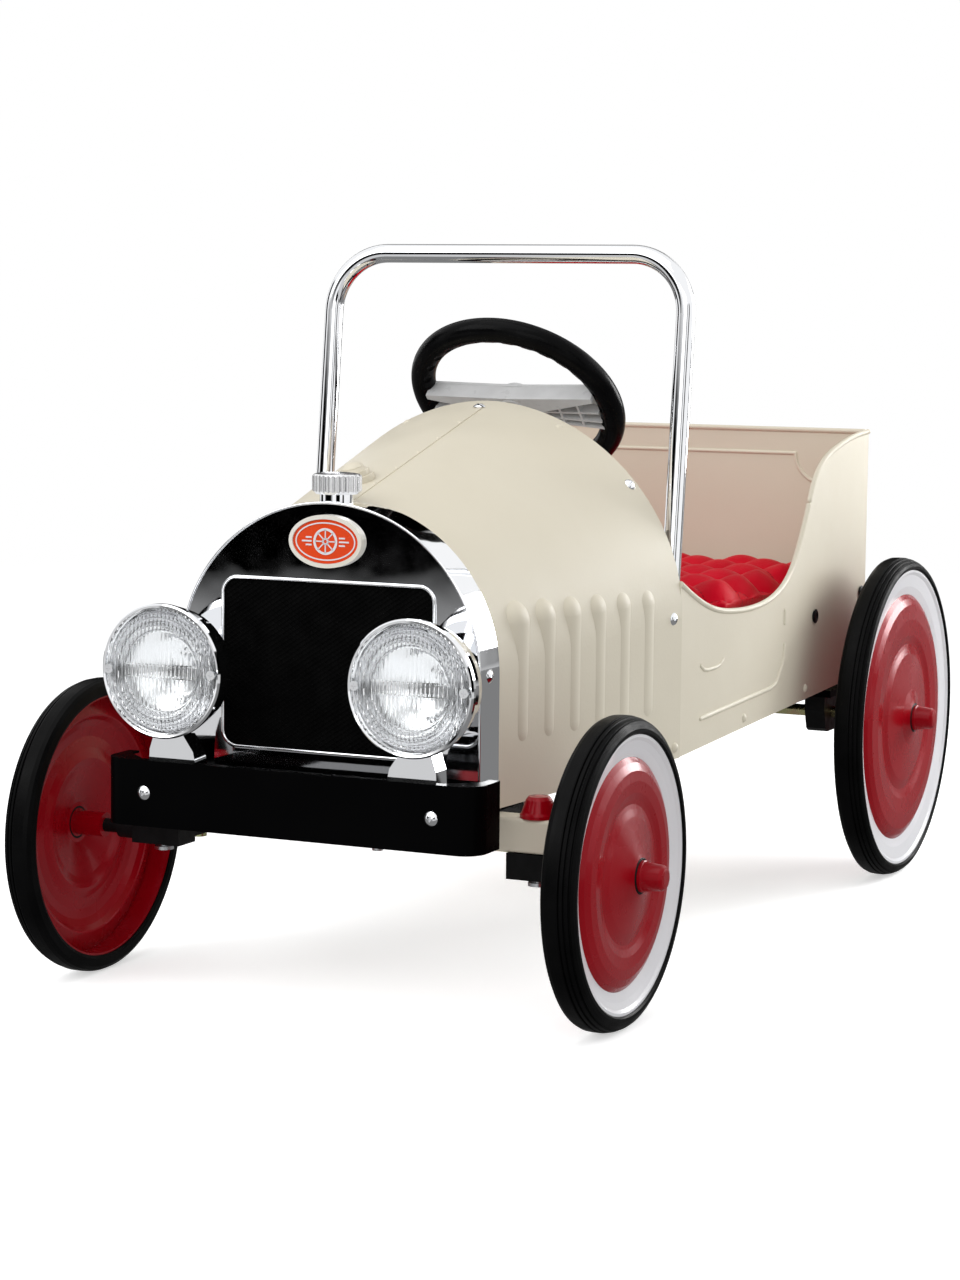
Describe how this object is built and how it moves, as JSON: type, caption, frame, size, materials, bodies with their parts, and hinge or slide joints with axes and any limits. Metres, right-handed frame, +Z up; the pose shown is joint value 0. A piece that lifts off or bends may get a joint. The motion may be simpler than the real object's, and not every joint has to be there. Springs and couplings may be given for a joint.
{
  "type": "pedal car",
  "caption": "Child's steel pedal car with a round radiator nose, tube hoop, steered front wheels and a crank-driven rear axle.",
  "frame": {"origin": "on the ground, under the middle of the overall length and width", "axes": "+Z up, -Y towards the nose, +X towards the driver's left"},
  "size_m": [0.486, 0.8816, 0.5362],
  "materials": {
    "cream_paint": "gloss enamel",
    "red_paint": "gloss enamel",
    "white_paint": "gloss enamel",
    "black_paint": "gloss enamel",
    "tyre_rubber": "satin",
    "chrome": "mirror",
    "mesh": "satin",
    "badge_metal": "polished",
    "enamel": "gloss",
    "cap_plastic": "gloss",
    "lens": "clear, moulded",
    "reflector": "polished",
    "cushion": "satin vinyl",
    "zinc": "yellow zinc plate",
    "steel": "bright zinc plate",
    "black_plastic": "satin",
    "grip": "satin",
    "grey_plastic": "satin",
    "pedal_rubber": "matt"
  },
  "bodies": {
    "chassis": {"body_side_left": "cream_paint", "body_side_right": "cream_paint", "back_panel": "cream_paint", "seat_deck": "cream_paint", "cowl_frame": "cream_paint", "radiator_shell": "chrome", "grille_mesh": "mesh", "badge_rim": "badge_metal", "badge_enamel": "enamel", "radiator_cap": "cap_plastic", "bumper": "black_paint", "bumper_screws": "chrome", "lamp_bracket": "chrome", "lamp_shell_left": "chrome", "lamp_shell_right": "chrome", "lamp_reflector_left": "reflector", "lamp_reflector_right": "reflector", "lamp_lens_left": "lens", "lamp_lens_right": "lens", "lens_screws": "chrome", "windscreen_hoop": "chrome", "body_screws": "chrome", "seat_cushion": "cushion", "front_beam": "cream_paint", "chassis_frame": "black_paint", "rear_bearings": "black_plastic", "kingpins": "steel", "kingpin_caps": "red_paint", "column_bushes": "black_plastic", "pedal_shaft": "steel"},
    "steering": {"steering_rim": "grip", "steering_spokes": "grey_plastic", "steering_column": "steel"},
    "knuckle_l": {"knuckle_left": "black_plastic"},
    "knuckle_r": {"knuckle_right": "black_plastic"},
    "tie": {"tie_rod": "zinc", "tie_rod_bolts": "zinc"},
    "wheel_fl": {"tyre_fl": "tyre_rubber", "disc_fl": "red_paint", "whitewall_fl": "white_paint", "hubcap_fl": "red_paint"},
    "wheel_fr": {"tyre_fr": "tyre_rubber", "disc_fr": "red_paint", "whitewall_fr": "white_paint", "hubcap_fr": "red_paint"},
    "crank": {"rear_axle": "zinc", "tyre_rl": "tyre_rubber", "disc_rl": "red_paint", "whitewall_rl": "white_paint", "hubcap_rl": "red_paint"},
    "wheel_rr": {"tyre_rr": "tyre_rubber", "disc_rr": "red_paint", "whitewall_rr": "white_paint", "hubcap_rr": "red_paint"},
    "rod_left": {"pedal_rod_left": "steel"},
    "rod_right": {"pedal_rod_right": "steel"},
    "pedal_left": {"pedal_arm_left": "steel", "pedal_pad_left": "pedal_rubber"},
    "pedal_right": {"pedal_arm_right": "steel", "pedal_pad_right": "pedal_rubber"}
  },
  "joints": [
    {"name": "steering_turn", "type": "hinge", "parent": "chassis", "child": "steering", "pos_m": [0, -0.0433, 0.4162], "axis": [0, 0.7009, 0.7133], "range_deg": [-31, 31]},
    {"name": "kingpin_left", "type": "hinge", "parent": "chassis", "child": "knuckle_l", "pos_m": [0.1486, -0.3328, 0.108], "axis": [0, 0, 1], "range_deg": [-28.84, 28.84]},
    {"name": "kingpin_right", "type": "hinge", "parent": "chassis", "child": "knuckle_r", "pos_m": [-0.1486, -0.3328, 0.108], "axis": [0, 0, 1], "range_deg": [-28.84, 28.84]},
    {"name": "tie_rod_pivot", "type": "hinge", "parent": "knuckle_l", "child": "tie", "pos_m": [0.1486, -0.2828, 0.109], "axis": [0, 0, 1], "range_deg": [-28.84, 28.84]},
    {"name": "front_left_spin", "type": "hinge", "parent": "knuckle_l", "child": "wheel_fl", "pos_m": [0.21, -0.3328, 0.108], "axis": [1, 0, 0], "continuous": true},
    {"name": "front_right_spin", "type": "hinge", "parent": "knuckle_r", "child": "wheel_fr", "pos_m": [-0.21, -0.3328, 0.108], "axis": [1, 0, 0], "continuous": true},
    {"name": "crank_spin", "type": "hinge", "parent": "chassis", "child": "crank", "pos_m": [0, 0.3032, 0.1376], "axis": [1, 0, 0], "continuous": true},
    {"name": "rear_right_spin", "type": "hinge", "parent": "crank", "child": "wheel_rr", "pos_m": [-0.21, 0.3032, 0.1376], "axis": [1, 0, 0], "continuous": true},
    {"name": "rod_left_pivot", "type": "hinge", "parent": "crank", "child": "rod_left", "pos_m": [0.036, 0.2652, 0.1376], "axis": [1, 0, 0], "continuous": true},
    {"name": "rod_right_pivot", "type": "hinge", "parent": "crank", "child": "rod_right", "pos_m": [-0.036, 0.3412, 0.1376], "axis": [1, 0, 0], "continuous": true},
    {"name": "pedal_left_swing", "type": "hinge", "parent": "chassis", "child": "pedal_left", "pos_m": [0.045, -0.1728, 0.25], "axis": [1, 0, 0], "range_deg": [0, 39.5]},
    {"name": "pedal_right_swing", "type": "hinge", "parent": "chassis", "child": "pedal_right", "pos_m": [-0.045, -0.1728, 0.25], "axis": [1, 0, 0], "range_deg": [-39.5, 0]}
  ],
  "couplings": [
    {"joint": "kingpin_left", "follows": "steering_turn", "ratio": 0.93},
    {"joint": "kingpin_right", "follows": "steering_turn", "ratio": 0.93},
    {"joint": "tie_rod_pivot", "follows": "steering_turn", "ratio": -0.93},
    {"joint": "rod_left_pivot", "follows": "crank_spin", "ratio": -1},
    {"joint": "rod_right_pivot", "follows": "crank_spin", "ratio": -1},
    {"joint": "pedal_right_swing", "follows": "pedal_left_swing", "ratio": -1}
  ]
}
